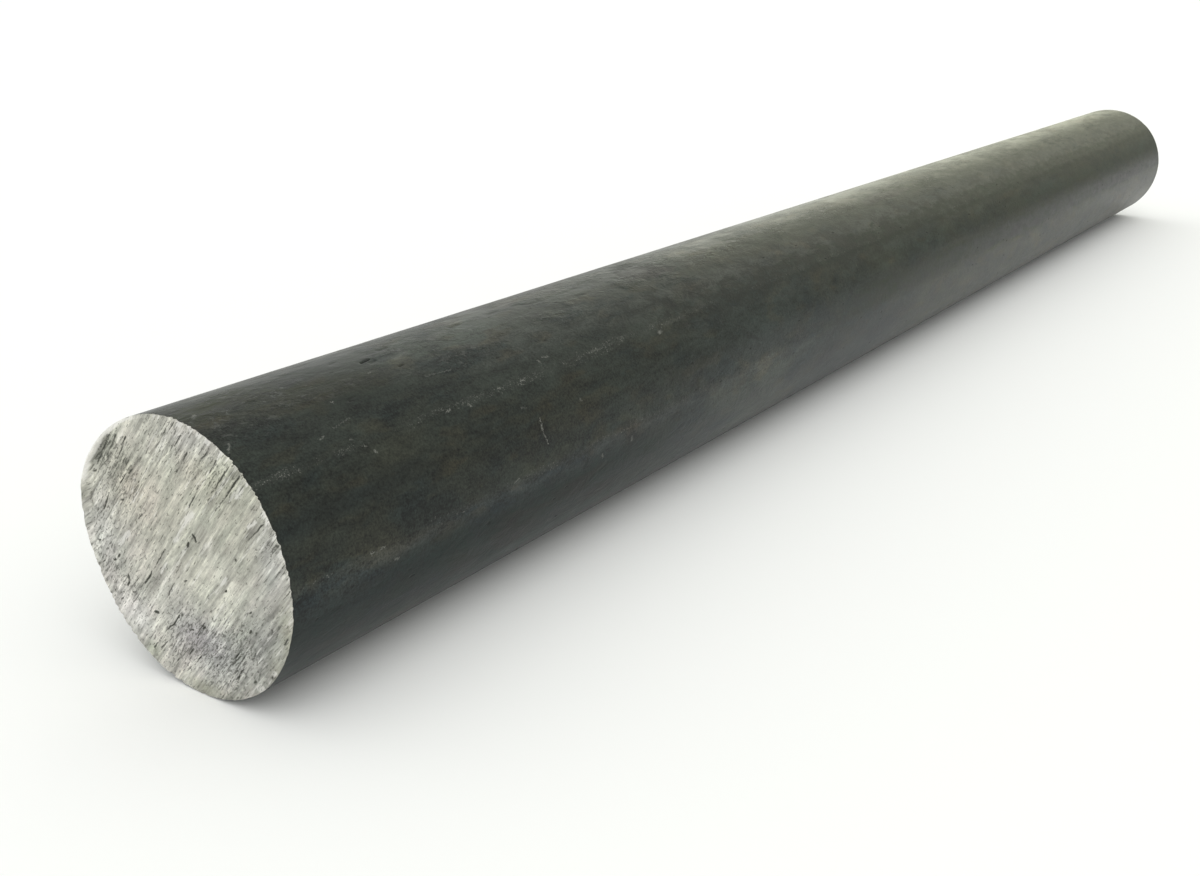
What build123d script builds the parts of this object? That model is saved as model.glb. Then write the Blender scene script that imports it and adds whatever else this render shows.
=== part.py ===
from build123d import *

import os

# Round bar of hot-rolled carbon steel, one solid piece.
#
# The bar is a plain full-round section, rolled black and sawn square at both
# ends. The saw burr is dressed off, which leaves a narrow 45 degree break
# round each end face. It lies along X on the surface Z = 0.
#
# Origin: on the line of contact with that surface, midway along the bar.
# Axes:   +X along the bar, +Z up.
# Units:  millimetres.

# ---- driving dimensions -------------------------------------------------
DIAMETER = 45.0  # rolled section, nominal
LENGTH = 500.0  # stock length, sawn end to sawn end
EDGE_BREAK = 0.4  # leg of the dressed edge round each end face

RADIUS = DIAMETER / 2
HALF = LENGTH / 2


def round_bar():
    """Half of the bar's long section, turned about the bar's own axis."""
    half_section = Polyline(
        (-HALF, 0),
        (-HALF, RADIUS - EDGE_BREAK),  # end face
        (-HALF + EDGE_BREAK, RADIUS),  # dressed edge
        (HALF - EDGE_BREAK, RADIUS),  # rolled skin
        (HALF, RADIUS - EDGE_BREAK),  # dressed edge
        (HALF, 0),  # end face
        close=True,
    )
    bar = revolve(make_face(half_section), axis=Axis.X, revolution_arc=360)
    return Pos(0, 0, RADIUS) * bar


bar = round_bar()

os.makedirs("parts", exist_ok=True)
export_step(bar, "parts/round_bar.step")

print("round_bar: %.0f mm3, %s" % (bar.volume, bar.bounding_box().size))
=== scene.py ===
"""Looks of the round steel bar: mill-scaled skin, band-sawn ends, floor, light and camera.

The bar is one closed mesh with real relief: roll-pass arrises and rolled-in marks on the skin, and
the saw's grooves, torn streaks, pits and burr on the two ends. All lengths below are in millimetres
until the mesh is made, which is in metres, in the row frame.
"""

import math

import bmesh
import bpy
import numpy as np
from mathutils import Matrix, Vector
from mathutils.geometry import delaunay_2d_cdt


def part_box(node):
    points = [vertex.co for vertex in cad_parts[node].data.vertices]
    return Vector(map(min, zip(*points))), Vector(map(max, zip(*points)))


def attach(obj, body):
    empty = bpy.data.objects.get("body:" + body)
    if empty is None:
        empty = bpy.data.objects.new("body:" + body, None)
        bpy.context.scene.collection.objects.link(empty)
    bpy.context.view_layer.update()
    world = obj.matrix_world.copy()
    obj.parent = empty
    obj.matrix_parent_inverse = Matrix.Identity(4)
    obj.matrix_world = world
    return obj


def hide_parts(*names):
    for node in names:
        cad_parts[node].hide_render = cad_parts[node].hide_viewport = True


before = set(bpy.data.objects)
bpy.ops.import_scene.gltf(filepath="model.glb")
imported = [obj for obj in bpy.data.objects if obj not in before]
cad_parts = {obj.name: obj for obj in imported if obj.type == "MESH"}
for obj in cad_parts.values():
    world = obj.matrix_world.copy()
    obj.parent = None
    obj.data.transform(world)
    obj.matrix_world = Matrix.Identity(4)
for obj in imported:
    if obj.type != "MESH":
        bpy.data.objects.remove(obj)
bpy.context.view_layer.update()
lo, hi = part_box("round_bar")

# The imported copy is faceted, so its box is a little under the true round.
R = round(max(hi.y - lo.y, hi.z - lo.z) * 1000) / 2
LENGTH = round((hi.x - lo.x) * 1000)
HALF = LENGTH / 2
AXIS_Z = R

scene = bpy.context.scene


# ---- noise ---------------------------------------------------------------
def fade(t):
    return t * t * t * (t * (t * 6 - 15) + 10)


def smooth(lo_, hi_, x):
    """From 0 at lo_ to 1 at hi_, which may be the lower of the two."""
    t = np.clip((x - lo_) / (hi_ - lo_), 0, 1)
    return t * t * (3 - 2 * t)


def noise2(x, y, seed, n=128):
    """Smooth noise from -1 to 1 on a plane."""
    lat = np.random.default_rng(seed).uniform(-1, 1, (n, n))
    xi, yi = np.floor(x).astype(int), np.floor(y).astype(int)
    fx, fy = fade(x - xi), fade(y - yi)
    a, b = lat[xi % n, yi % n], lat[(xi + 1) % n, yi % n]
    c, d = lat[xi % n, (yi + 1) % n], lat[(xi + 1) % n, (yi + 1) % n]
    return (a * (1 - fx) + b * fx) * (1 - fy) + (c * (1 - fx) + d * fx) * fy


def noise3(x, y, z, seed, n=32):
    """Smooth noise from -1 to 1 in space."""
    lat = np.random.default_rng(seed).uniform(-1, 1, (n, n, n))
    xi, yi, zi = (np.floor(v).astype(int) for v in (x, y, z))
    fx, fy, fz = fade(x - xi), fade(y - yi), fade(z - zi)
    out = 0.0
    for dx, wx in ((0, 1 - fx), (1, fx)):
        for dy, wy in ((0, 1 - fy), (1, fy)):
            for dz, wz in ((0, 1 - fz), (1, fz)):
                out = out + wx * wy * wz * lat[(xi + dx) % n, (yi + dy) % n, (zi + dz) % n]
    return out


def capsule(x, y, x0, y0, x1, y1, w):
    """1 on the line from (x0, y0) to (x1, y1), falling off as a bell of half width w."""
    dx, dy = x1 - x0, y1 - y0
    l2 = dx * dx + dy * dy
    t = np.clip(((x - x0) * dx + (y - y0) * dy) / l2, 0, 1) if l2 > 0 else 0 * x
    d2 = (x - x0 - t * dx) ** 2 + (y - y0 - t * dy) ** 2
    return np.exp(-0.5 * d2 / (w * w))


# ---- the sawn ends --------------------------------------------------------
# Each end's own plane: a runs to the right and b up, seen from outside, from the bar's axis.
# Marks given in bar radii: dark torn streaks and pits as (a0, b0, a1, b1, half width, strength).
TORN = [
    (-0.59, 0.78, -0.67, 0.68, 0.013, 0.9), (-0.66, 0.68, -0.70, 0.64, 0.015, 0.95), (-0.62, 0.71, -0.66, 0.665, 0.008, 0.8), (-0.57, 0.69, -0.61, 0.645, 0.008, 0.7),
    (-0.70, 0.64, -0.80, 0.54, 0.012, 0.75), (-0.72, 0.60, -0.79, 0.52, 0.008, 0.7), (-0.54, 0.60, -0.60, 0.53, 0.008, 0.7), (-0.55, 0.76, -0.68, 0.58, 0.012, 0.7),
    (-0.67, 0.60, -0.68, 0.575, 0.016, 0.7), (-0.44, 0.77, -0.51, 0.665, 0.013, 1.0),
    (-0.51, 0.665, -0.57, 0.59, 0.008, 0.8), (-0.36, 0.78, -0.41, 0.71, 0.011, 0.5),
    (-0.47, 0.64, -0.51, 0.565, 0.015, 0.8), (-0.60, 0.55, -0.64, 0.51, 0.009, 0.7),
    (-0.45, 0.48, -0.49, 0.43, 0.014, 0.85), (-0.49, 0.43, -0.555, 0.365, 0.012, 0.8),
    (-0.555, 0.30, -0.585, 0.29, 0.012, 1.0), (-0.82, 0.45, -0.845, 0.44, 0.011, 0.8),
    (-0.73, 0.29, -0.785, 0.20, 0.009, 0.9), (-0.785, 0.20, -0.81, 0.17, 0.013, 0.9),
    (-0.81, 0.17, -0.87, 0.12, 0.007, 0.6), (-0.955, 0.29, -0.975, 0.24, 0.028, 0.6),
    (-0.985, 0.26, -0.99, 0.08, 0.011, 0.9), (-0.78, 0.63, -0.86, 0.52, 0.013, 0.5),
    (-0.03, 0.90, -0.10, 0.81, 0.011, 0.7), (-0.10, 0.81, -0.19, 0.69, 0.012, 0.7),
    (-0.34, 0.90, -0.38, 0.86, 0.010, 0.5), (-0.35, 0.65, -0.36, 0.64, 0.012, 0.55),
    (-0.14, 0.57, -0.16, 0.55, 0.012, 0.5), (-0.38, 0.45, -0.45, 0.37, 0.010, 0.6),
    (-0.22, 0.46, -0.27, 0.41, 0.012, 0.5), (-0.38, 0.24, -0.43, 0.19, 0.007, 0.7),
    (-0.45, 0.16, -0.50, 0.11, 0.011, 0.7), (-0.17, 0.22, -0.20, 0.18, 0.010, 0.5),
    (-0.19, 0.03, -0.25, -0.05, 0.006, 0.7), (-0.25, -0.05, -0.305, -0.115, 0.010, 0.95),
    (-0.30, 0.02, -0.35, -0.03, 0.007, 0.6), (-0.36, -0.175, -0.41, -0.24, 0.010, 1.0),
    (-0.41, -0.24, -0.455, -0.295, 0.008, 1.0), (-0.05, -0.05, -0.10, -0.12, 0.009, 0.6),
    (-0.14, -0.20, -0.22, -0.31, 0.009, 0.45), (-0.01, -0.155, -0.03, -0.165, 0.011, 0.75),
    (-0.90, -0.085, -0.92, -0.09, 0.011, 1.0), (-0.70, -0.14, -0.72, -0.165, 0.011, 0.9),
    (-0.75, -0.19, -0.77, -0.20, 0.011, 1.1), (-0.88, -0.24, -0.91, -0.255, 0.009, 0.8),
    (-0.635, -0.285, -0.64, -0.34, 0.014, 1.1), (-0.64, -0.34, -0.66, -0.365, 0.010, 1.0),
    (-0.62, -0.31, -0.66, -0.30, 0.008, 0.9), (-0.57, -0.395, -0.61, -0.405, 0.008, 0.8),
    (-0.73, -0.48, -0.75, -0.495, 0.009, 0.8), (-0.36, -0.485, -0.385, -0.49, 0.016, 1.1),
    (-0.40, -0.50, -0.44, -0.505, 0.009, 0.7), (-0.08, -0.41, -0.11, -0.44, 0.014, 1.0),
    (-0.13, -0.44, -0.20, -0.52, 0.007, 0.9), (-0.20, -0.52, -0.28, -0.595, 0.007, 0.85),
    (-0.18, -0.53, -0.22, -0.54, 0.010, 0.9), (-0.24, -0.64, -0.38, -0.77, 0.006, 0.7),
    (-0.37, -0.70, -0.46, -0.79, 0.007, 0.6), (-0.01, -0.48, -0.02, -0.485, 0.013, 0.7),
    (0.0, -0.51, -0.04, -0.53, 0.009, 0.9), (0.07, -0.50, 0.03, -0.57, 0.007, 0.7),
    (0.13, -0.45, 0.10, -0.475, 0.009, 0.9), (0.24, -0.56, 0.22, -0.59, 0.012, 0.8),
    (0.50, -0.37, 0.495, -0.375, 0.011, 0.8), (0.585, -0.34, 0.57, -0.365, 0.012, 0.9),
    (0.635, -0.34, 0.625, -0.35, 0.011, 0.8), (0.61, -0.505, 0.565, -0.56, 0.010, 0.95),
    (0.79, -0.265, 0.785, -0.30, 0.013, 0.8), (0.61, -0.205, 0.595, -0.215, 0.010, 0.9),
    (0.39, -0.115, 0.375, -0.125, 0.011, 1.0), (0.50, -0.55, 0.40, -0.68, 0.007, 0.6),
    (0.45, -0.57, 0.36, -0.66, 0.008, 0.7), (0.41, -0.735, 0.40, -0.745, 0.010, 0.9),
    (0.58, -0.72, 0.565, -0.735, 0.017, 0.8), (0.925, -0.30, 0.885, -0.345, 0.013, 0.9),
    (0.75, -0.63, 0.745, -0.635, 0.010, 1.0), (0.13, 0.90, 0.05, 0.81, 0.006, 0.7),
    (0.17, 0.79, 0.04, 0.63, 0.010, 0.45), (0.40, 0.88, 0.26, 0.73, 0.007, 0.6),
    (0.44, 0.79, 0.36, 0.70, 0.010, 0.7), (0.55, 0.78, 0.30, 0.49, 0.007, 0.6),
    (0.63, 0.725, 0.56, 0.65, 0.009, 1.0), (0.56, 0.65, 0.50, 0.58, 0.008, 0.8),
    (0.50, 0.58, 0.45, 0.525, 0.009, 0.7), (0.425, 0.495, 0.37, 0.44, 0.009, 0.6), (0.40, 0.60, 0.31, 0.49, 0.010, 0.7),
    (0.71, 0.665, 0.65, 0.60, 0.008, 0.55), (0.25, 0.59, 0.12, 0.41, 0.010, 0.45),
    (0.60, 0.44, 0.64, 0.45, 0.016, 0.45), (0.56, 0.33, 0.55, 0.325, 0.018, 0.5),
    (0.066, 0.137, 0.054, 0.121, 0.0145, 1.25), (0.042, 0.10, 0.022, 0.082, 0.010, 0.6),
    (0.124, 0.211, 0.134, 0.193, 0.0105, 1.3), (0.134, 0.193, 0.144, 0.175, 0.0105, 1.3), (-0.01, 0.06, -0.05, 0.02, 0.009, 0.55), (0.515, 0.145, 0.505, 0.138, 0.012, 0.9),
    (0.72, 0.27, 0.715, 0.265, 0.011, 0.5), (0.82, 0.47, 0.64, 0.30, 0.009, 0.5),
]
# Bright drawn-out streaks, in the same terms.
SHINY = [
    (0.15, 0.37, 0.03, 0.26, 0.024, 0.8), (0.03, 0.26, -0.07, 0.11, 0.022, 0.7),
    (-0.40, 0.49, -0.46, 0.38, 0.013, 0.6), (-0.30, 0.47, -0.45, 0.31, 0.013, 0.6),
    (0.655, 0.65, 0.60, 0.59, 0.018, 1.0), (0.75, 0.46, 0.67, 0.40, 0.013, 0.8),
    (-0.55, 0.06, -0.68, -0.06, 0.017, 0.9), (-0.19, -0.07, -0.26, -0.16, 0.013, 0.7),
    (0.40, -0.02, 0.29, -0.15, 0.018, 0.7), (0.38, -0.20, 0.24, -0.36, 0.016, 0.6),
    (0.32, -0.51, 0.25, -0.60, 0.012, 0.8), (0.11, 0.90, 0.06, 0.86, 0.018, 0.6),
    (-0.10, -0.21, -0.20, -0.30, 0.020, 0.6), (0.09, -0.445, 0.08, -0.45, 0.008, 1.0),
    (0.22, 0.55, 0.08, 0.37, 0.012, 0.5), (-0.46, -0.37, -0.66, -0.55, 0.05, 0.35),
    (0.34, 0.72, 0.22, 0.58, 0.012, 0.5), (-0.05, 0.80, -0.13, 0.68, 0.015, 0.5),
    (0.64, -0.735, 0.60, -0.765, 0.016, 1.0), (0.78, -0.58, 0.70, -0.68, 0.014, 0.8),
]
# Bright nicks on the rim, as (a, b, half width, strength).
NICKS = [
    (0.13, 0.97, 0.016, 1.0), (0.22, 0.955, 0.015, 1.0), (0.38, 0.905, 0.018, 1.0), (0.50, 0.85, 0.012, 0.7),
    (0.70, 0.695, 0.016, 0.8), (0.81, 0.575, 0.014, 0.8), (0.985, 0.14, 0.012, 0.7), (0.99, -0.08, 0.010, 0.6),
    (0.63, -0.755, 0.020, 0.9), (0.60, 0.78, 0.012, 0.7), (0.93, 0.36, 0.012, 0.6),
]
# Soft patches of tone: (a, b, half width along a, along b, red, green, blue), multiplied in.
PATCHES = [
    (-0.60, 0.62, 0.17, 0.12, 0.95, 0.96, 0.94), (0.08, -0.55, 0.22, 0.11, 0.82, 0.80, 0.87),
    (0.70, -0.42, 0.18, 0.17, 0.65, 0.66, 0.69), (-0.58, -0.56, 0.18, 0.12, 1.26, 1.24, 1.31),
    (0.20, 0.88, 0.16, 0.08, 1.04, 1.03, 1.08), (0.84, 0.25, 0.09, 0.16, 1.00, 1.01, 1.08),
    (-0.36, 0.38, 0.20, 0.20, 1.03, 0.99, 0.98), (0.25, 0.66, 0.12, 0.10, 1.00, 0.98, 0.95),
    (0.93, -0.30, 0.05, 0.16, 0.94, 0.94, 0.86), (0.80, -0.55, 0.06, 0.12, 1.02, 1.01, 0.95),
    (-0.46, -0.80, 0.06, 0.05, 0.84, 0.88, 0.80), (0.03, -0.95, 0.09, 0.05, 0.86, 0.87, 0.81),
    (-0.33, -0.62, 0.10, 0.14, 0.99, 0.99, 0.94), (-0.90, -0.35, 0.14, 0.16, 0.95, 0.94, 0.95),
    (-0.20, 0.02, 0.50, 0.22, 1.01, 1.01, 1.01), (0.36, -0.30, 0.14, 0.16, 1.18, 1.20, 1.20),
    (-0.78, -0.12, 0.18, 0.12, 0.97, 0.97, 0.97), (0.80, 0.02, 0.18, 0.22, 0.85, 0.85, 0.87),
    (-0.965, 0.27, 0.035, 0.08, 0.62, 0.63, 0.60), (-0.86, 0.05, 0.12, 0.26, 1.13, 1.14, 1.18),
    (-0.50, -0.02, 0.16, 0.10, 1.00, 0.98, 0.99), (0.55, -0.82, 0.14, 0.06, 0.86, 0.85, 0.84),
    (0.20, -0.93, 0.20, 0.04, 0.90, 0.89, 0.86), (-0.08, -0.80, 0.26, 0.09, 1.15, 1.14, 1.16), (0.30, 0.90, 0.30, 0.06, 1.05, 1.05, 1.06),
    (-0.67, 0.68, 0.09, 0.09, 0.82, 0.82, 0.81), (-0.47, 0.43, 0.11, 0.10, 1.14, 1.14, 1.13), (0.0, 0.45, 0.10, 0.26, 1.10, 1.11, 1.10),
    (0.46, 0.68, 0.12, 0.09, 1.13, 1.14, 1.10), (0.67, 0.44, 0.11, 0.11, 0.81, 0.81, 0.80), (0.44, 0.22, 0.11, 0.10, 0.86, 0.86, 0.85),
    (-0.20, 0.0, 0.10, 0.10, 1.12, 1.12, 1.12), (0.90, -0.20, 0.09, 0.14, 0.84, 0.84, 0.84), (0.36, -0.70, 0.18, 0.10, 1.06, 1.09, 1.09),
    (0.10, -0.70, 0.60, 0.26, 1.0, 1.0, 1.045), (-0.85, -0.15, 0.18, 0.25, 1.0, 1.0, 1.03), (0.45, 0.40, 0.35, 0.35, 0.996, 1.0, 0.975),
    (0.45, -0.48, 0.16, 0.10, 0.975, 1.0, 1.0),
]
# Where the cut is torn and pitted rather than drawn smooth: (a, b, half width, strength).
COARSE = [
    (-0.64, 0.60, 0.24, 1.3), (-0.82, 0.15, 0.22, 0.8), (-0.86, -0.20, 0.22, 1.0), (-0.62, -0.42, 0.24, 0.8),
    (0.0, -0.52, 0.24, 1.0), (0.50, -0.50, 0.30, 1.0), (-0.25, -0.72, 0.24, 0.9), (0.25, -0.80, 0.26, 0.8),
    (0.46, 0.68, 0.28, 0.7), (0.85, 0.30, 0.18, 0.6), (0.0, 0.80, 0.30, 0.5), (-0.42, 0.32, 0.26, 0.7), (0.85, -0.25, 0.16, 0.6),
    (-0.05, 0.72, 0.20, 0.4), (-0.30, -0.12, 0.25, 0.4),
]

# Where it is calmer: (a, b, half width, how much).
CALM = [(0.0, 0.48, 0.17, 0.42), (-0.22, -0.22, 0.13, 0.30), (0.0, -0.70, 0.13, 0.28), (0.22, 0.88, 0.09, 0.30), (-0.95, 0.0, 0.10, 0.2)]

SAW_ANGLE = {-1: math.radians(49.0), 1: math.radians(-62.0)}  # of the marks, on each end
BURR = 1.28  # height of the burr that the saw left where it broke through, on the -X end
PLANE = {-1: 1.72, 1: 0.60}  # depth of the middle of each cut under the bar's full length
SLOPE = {-1: (0.0118, -0.0104), 1: (-0.006, 0.009)}  # how far each cut is out of square


def saw_frame(a, b, end):
    """(along the saw marks, across them), in millimetres."""
    c, s = math.cos(SAW_ANGLE[end]), math.sin(SAW_ANGLE[end])
    return a * c + b * s, -a * s + b * c


def burr(a, b, end):
    """Height of the burr at points of an end's plane, and how far up its inner wall they are."""
    turn = np.degrees(np.arctan2(b, -a))  # from the left, towards the top
    r = np.hypot(a, b)
    if end < 0:
        centre, half, tall = 25.0, 31.0, BURR
    else:
        centre, half, tall = -40.0, 26.0, 0.30
    off = (turn - centre + 180) % 360 - 180
    k = 150 if end < 0 else 250
    lift = np.exp(-((off / half) ** 2)) * (1 + 0.04 * noise2(turn / 7, 0 * turn, k))
    foot = R - 0.98 - 0.14 * noise2(turn / 9, 0 * turn, k + 1)
    return tall * lift, smooth(foot, R - 0.22, r)


def sawn_end(a, b, end):
    """Depth below the bar's full length, the marks' masks, tone and coarseness, at points of an end's own plane."""
    u, v = saw_frame(a, b, end)
    r = np.hypot(a, b)
    k = 100 if end < 0 else 200  # seeds
    # The blade wanders a little, so the grooves do too.
    w = v + 0.30 * noise2(u / 14, v / 9, k + 1) + 0.06 * noise2(u / 3.1, v / 2, k + 20)

    def grooves_at(w):
        return (
            0.034 * noise2(w / 0.95, u / 10, k + 2) + 0.030 * noise2(w / 0.52, u / 6, k + 3)
            + 0.017 * noise2(w / 0.30, u / 3.4, k + 4) + 0.008 * noise2(w / 0.19, u / 1.8, k + 21)
        )

    grooves = grooves_at(w)
    waves = noise2(u / 9, v / 7, k + 5)
    depth = PLANE[end] + SLOPE[end][0] * a + SLOPE[end][1] * b + 0.045 * waves + grooves
    # Painted light and shade: groove walls that face one way are made lighter and the others darker, as light raking
    # across the grooves would show them.
    groove_wall_painted_shade = (grooves_at(w + 0.05) - grooves_at(w - 0.05)) / 0.1
    # Torn streaks lie in families, denser in some places.
    if end < 0:
        coarse = 0.28 + 0 * a
        for ca, cb, cw, cs in COARSE:
            coarse = coarse + cs * np.exp(-0.5 * ((a / R - ca) ** 2 + (b / R - cb) ** 2) / (cw * cw / 2.2))
        coarse = np.clip(coarse, 0, 1.4)
    else:
        coarse = 0.25 + 0.75 * smooth(-0.3, 0.5, noise2(u / 9, v / 6, k + 22))
    family = coarse * smooth(-0.4, 0.6, noise2(u / 6 + 7, v / 2.6, k + 6))
    torn = smooth(0.42, 0.85, noise2(w / 0.34 + 31, u / 3.2, k + 7)) * family
    ticks = smooth(0.50, 0.85, noise2(w / 0.24 + 11, u / 1.3, k + 8)) * (0.2 + 0.8 * coarse)
    shiny = smooth(0.30, 0.85, noise2(w / 0.50 + 5, u / 6.0, k + 9))
    pits = smooth(0.66, 0.90, noise2(a / 0.36, b / 0.32, k + 10)) * coarse
    pits = pits * smooth(-0.3, 0.5, noise2(a / 5 + 3, b / 4, k + 11))
    dark = 0.48 * torn + 0.34 * ticks + 0.55 * pits
    light = 0.50 * shiny
    # Tone of the drawn metal, streak upon streak.
    tone = 1 + 0.09 * noise2(v / 2.3, u / 9, k + 13) + 0.20 * noise2(w / 0.95 + 3, u / 8.0, k + 14)
    tone = tone + 0.25 * noise2(w / 0.46 + 9, u / 5.0, k + 16) + 0.19 * noise2(w / 0.26, u / 2.6, k + 17) * (0.5 + 0.5 * coarse)
    tone = tone + 0.12 * coarse * noise2(a / 0.50, b / 0.42, k + 18) + 0.10 * noise2(a / 1.3, b / 1.1, k + 19)
    # Painted light and shade on the groove walls, lighter on one side and darker on the other.
    tone = tone - 0.42 * np.clip(groove_wall_painted_shade, -0.5, 0.5)
    if end < 0:
        for ca, cb, cw, cs in CALM:
            tone = 1 + (tone - 1) * (1 - cs * np.exp(-0.5 * ((a / R - ca) ** 2 + (b / R - cb) ** 2) / (cw * cw)))
    tone = np.clip(tone, 0.45, 1.6)
    hue = noise2(u / 8, v / 5, k + 15)
    hue2 = noise2(u / 3.5, v / 1.6, k + 23)
    tone = tone[:, None] * (1 + np.outer(hue, (0.008, 0.0, -0.012)) + np.outer(hue2, (0.014, -0.004, 0.006)))
    if end < 0:
        ja = a + 0.10 * noise2(a / 0.8, b / 0.8, k + 24) + 0.06 * noise2(a / 0.33, b / 0.33, k + 25)
        jb = b + 0.10 * noise2(a / 0.8 + 40, b / 0.8, k + 26) + 0.06 * noise2(a / 0.33 + 40, b / 0.33, k + 27)
        broken = np.clip(0.92 + 0.45 * noise2(w / 0.3, u / 2.6, k + 28), 0, 1)
        for a0, b0, a1, b1, wd, s in TORN:
            length = math.hypot(a1 - a0, b1 - b0)
            m = capsule(ja, jb, a0 * R, b0 * R, a1 * R, b1 * R, max(wd * 0.66, 0.0058) * R)
            m = m * (broken if length > 0.04 else 1.0)
            s = max(s, 0.8) if length > 0.09 else s
            s = s * (0.86 if wd > 0.0115 and length > 0.03 else 1.0)
            dark = np.maximum(dark, s * m)
            depth = depth + 0.17 * s * m
        for a0, b0, a1, b1, wd, s in SHINY:
            light = np.maximum(light, s * capsule(ja, jb, a0 * R, b0 * R, a1 * R, b1 * R, wd * R) * broken)
        for na, nb, wd, s in NICKS:
            light = np.maximum(light, s * capsule(ja, jb, na * R, nb * R, na * R, nb * R, wd * R))
        for pa, pb, wa, wb, r_, g_, b_ in PATCHES:
            m = np.exp(-0.5 * (((a / R - pa) / wa) ** 2 + ((b / R - pb) / wb) ** 2))[:, None]
            tone = tone * (1 + m * (np.array([r_, g_, b_]) - 1))
    else:
        tone = tone * np.array([0.985, 1.0, 1.07])
    depth = depth + 0.11 * torn + 0.04 * ticks + 0.11 * pits - 0.012 * light
    # Grooves break out deeper where they leave over the rim.
    leaving = np.abs(u) / np.maximum(r, 1e-6)
    edge = smooth(R - np.where(u > 0, 1.9, 1.3), R - 0.10, r) * smooth(0.30, 0.75, leaving)
    comb = 0.7 * noise2(w / 0.36, np.sign(u) * 3 + 0.5 + 0 * w, k + 29) + 0.5 * noise2(w / 0.9, np.sign(u) * 3 + 9.5 + 0 * w, k + 31)
    depth = depth + 0.20 * edge * smooth(-0.05, 0.75, comb)
    dark = np.maximum(dark, 0.46 * edge * smooth(0.25, 0.7, comb))
    # On the right, fine gaps run further in from the rim.
    gaps = smooth(0.34, 0.72, noise2(w / 0.30, u / 9 + 4, k + 33)) * smooth(R - 5.5, R - 1.0, r) * smooth(0.30, 0.75, leaving)
    dark = np.maximum(dark, 0.60 * gaps * smooth(-2, 6, u))
    light = np.maximum(light, np.where(u > 0, 1.0, 0.35) * edge * smooth(0.03, 0.35, -comb))
    # The burr is drawn smooth and bright.
    lift, wall_up = burr(a, b, end)
    depth = depth - lift * wall_up
    turn = np.degrees(np.arctan2(b, -a)) if end < 0 else np.full(len(a), 200.0)
    on = smooth(0.36, 0.60, wall_up) * smooth(14, 30, turn) * smooth(82, 62, turn)
    dark, light = dark * (1 - 0.95 * on), np.maximum(light * (1 - 0.8 * on), 0.85 * on)
    drawn = np.array([1.60, 1.60, 1.66]) * (1 + 0.08 * noise2(w / 0.7, u / 5, k + 30))[:, None]
    tone = tone * (1 - on)[:, None] + on[:, None] * drawn
    return np.maximum(depth, 0.02), np.clip(dark, 0, 1.2), np.clip(light, 0, 1), tone, coarse * (1 - on)


# ---- the rolled skin -------------------------------------------------------
# Angles run from the top, towards the side that faces the camera (-Y), in degrees.
ARRISES = (47.0, 88.0, 139.0, 197.0, 227.0, 268.0, 316.0)
# Dents and cracks: (s0, angle0, s1, angle1, half width, depth, dark), s in mm from the middle of the -X end's cut.
DENTS = [
    (35.0, 8.6, 36.9, 7.9, 0.18, 0.22, 1.0), (36.2, 11.0, 37.4, 10.6, 0.26, 0.08, 0.35),
    (41.3, 3.4, 43.4, 2.6, 0.34, 0.09, 0.35), (59.0, 3.6, 61.2, 2.8, 0.36, 0.10, 0.45),
    (39.4, 19.6, 40.2, 19.0, 0.15, 0.12, 0.9), (69.5, 3.2, 71.8, 2.4, 0.40, 0.07, 0.25),
    (91.6, 13.6, 93.6, 12.8, 0.40, 0.06, 0.30), (113.0, 0.0, 118.0, -2.5, 1.10, 0.06, 0.6),
    (43.0, 100.4, 43.3, 100.2, 0.18, 0.07, 0.9), (24.5, 27.6, 26.6, 26.8, 0.14, 0.05, 0.35),
    (10.6, 10.8, 12.2, 10.4, 0.30, 0.04, 0.25), (31.0, 1.4, 32.0, 0.8, 0.30, 0.05, 0.20),
]
# Scale rubbed or knocked off, showing brighter: (s0, angle0, s1, angle1, half width, strength).
RUBS = [
    (59.35, 65.8, 59.15, 71.5, 0.15, 0.85), (59.15, 71.5, 59.75, 78.0, 0.12, 0.75), (56.0, 58.4, 57.3, 59.4, 0.12, 0.3),
    (15.2, 39.3, 16.0, 38.9, 0.15, 0.65), (18.6, 37.0, 22.4, 35.3, 0.11, 0.36), (22.3, 25.6, 22.4, 25.6, 0.16, 0.8),
    (19.9, 43.7, 20.2, 44.3, 0.17, 0.55), (22.7, 51.3, 22.9, 52.3, 0.17, 0.65), (45.3, 48.2, 45.6, 49.6, 0.20, 0.7),
    (39.8, 48.0, 41.0, 47.6, 0.16, 0.7), (59.4, 47.3, 59.8, 47.5, 0.20, 0.9), (53.4, 46.9, 53.8, 46.9, 0.18, 0.7),
    (41.6, 29.2, 47.6, 30.6, 0.11, 0.35), (42.2, 12.6, 43.2, 12.2, 0.24, 0.35), (53.6, 6.6, 55.6, 5.6, 0.40, 0.30),
    (15.8, 87.6, 16.5, 87.4, 0.16, 0.9), (17.8, 87.6, 18.8, 87.4, 0.14, 0.7), (20.8, 94.6, 21.5, 95.0, 0.24, 0.5),
    (49.6, 87.2, 51.0, 86.8, 0.15, 0.5), (75.4, 95.4, 75.8, 96.6, 0.24, 0.5), (85.2, 94.0, 85.3, 95.6, 0.30, 0.35),
    (102.0, 50.8, 103.0, 50.4, 0.30, 0.7), (66.4, 41.6, 66.6, 43.0, 0.22, 0.5), (68.0, 40.8, 69.4, 41.4, 0.16, 0.6),
    (81.0, 46.8, 83.0, 47.2, 0.18, 0.4), (0.9, 31.0, 1.9, 28.0, 0.18, 0.6), (2.1, 7.6, 2.8, 6.4, 0.22, 0.6),
    (33.3, 17.2, 33.9, 16.8, 0.16, 0.5), (71.3, 65.0, 71.6, 66.0, 0.18, 0.35),
    (52.0, 7.6, 56.5, 5.0, 0.90, 0.22), (41.0, 13.6, 44.0, 12.4, 0.70, 0.20),
]
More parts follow.
